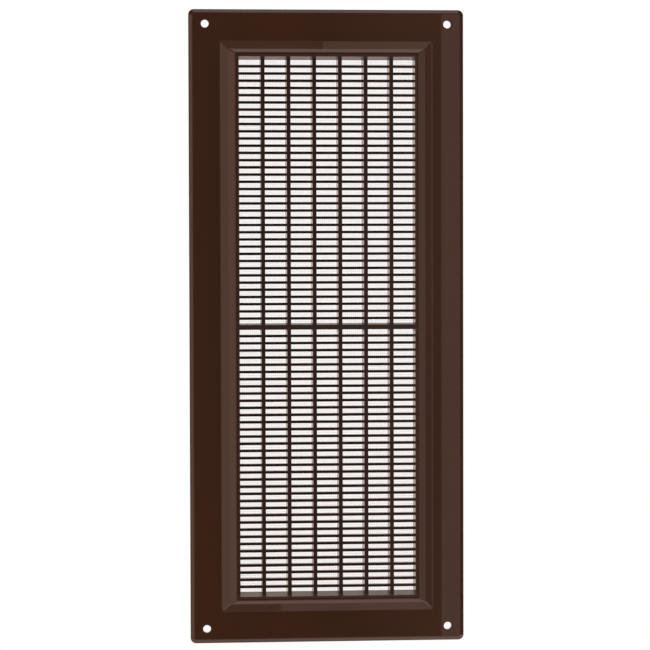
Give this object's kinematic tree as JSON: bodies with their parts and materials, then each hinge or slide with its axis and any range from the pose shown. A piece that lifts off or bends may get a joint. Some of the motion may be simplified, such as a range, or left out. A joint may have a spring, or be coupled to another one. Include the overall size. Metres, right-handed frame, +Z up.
{
  "type": "ventilation grille",
  "caption": "Tall rectangular screw-on ventilation grille with a raised mitred bezel, fine horizontal blades on upright ribs, a collar and an insect net.",
  "frame": {"origin": "centre of the plane where the frame's back meets the wall", "axes": "+Z up the wall, +X across it, the front faces -Y and the collar goes into the wall along +Y"},
  "size_m": [0.152, 0.0171, 0.35],
  "materials": {
    "gloss_brown": "glossy moulded chocolate brown",
    "grid_brown": "glossy moulded chocolate brown",
    "net_thread": "fine pale woven thread",
    "matte_brown": "satin moulded brown"
  },
  "bodies": {
    "root": {"face_frame": "gloss_brown", "louvre_grid": "grid_brown", "insect_net": "net_thread", "net_frame": "matte_brown"}
  },
  "joints": []
}
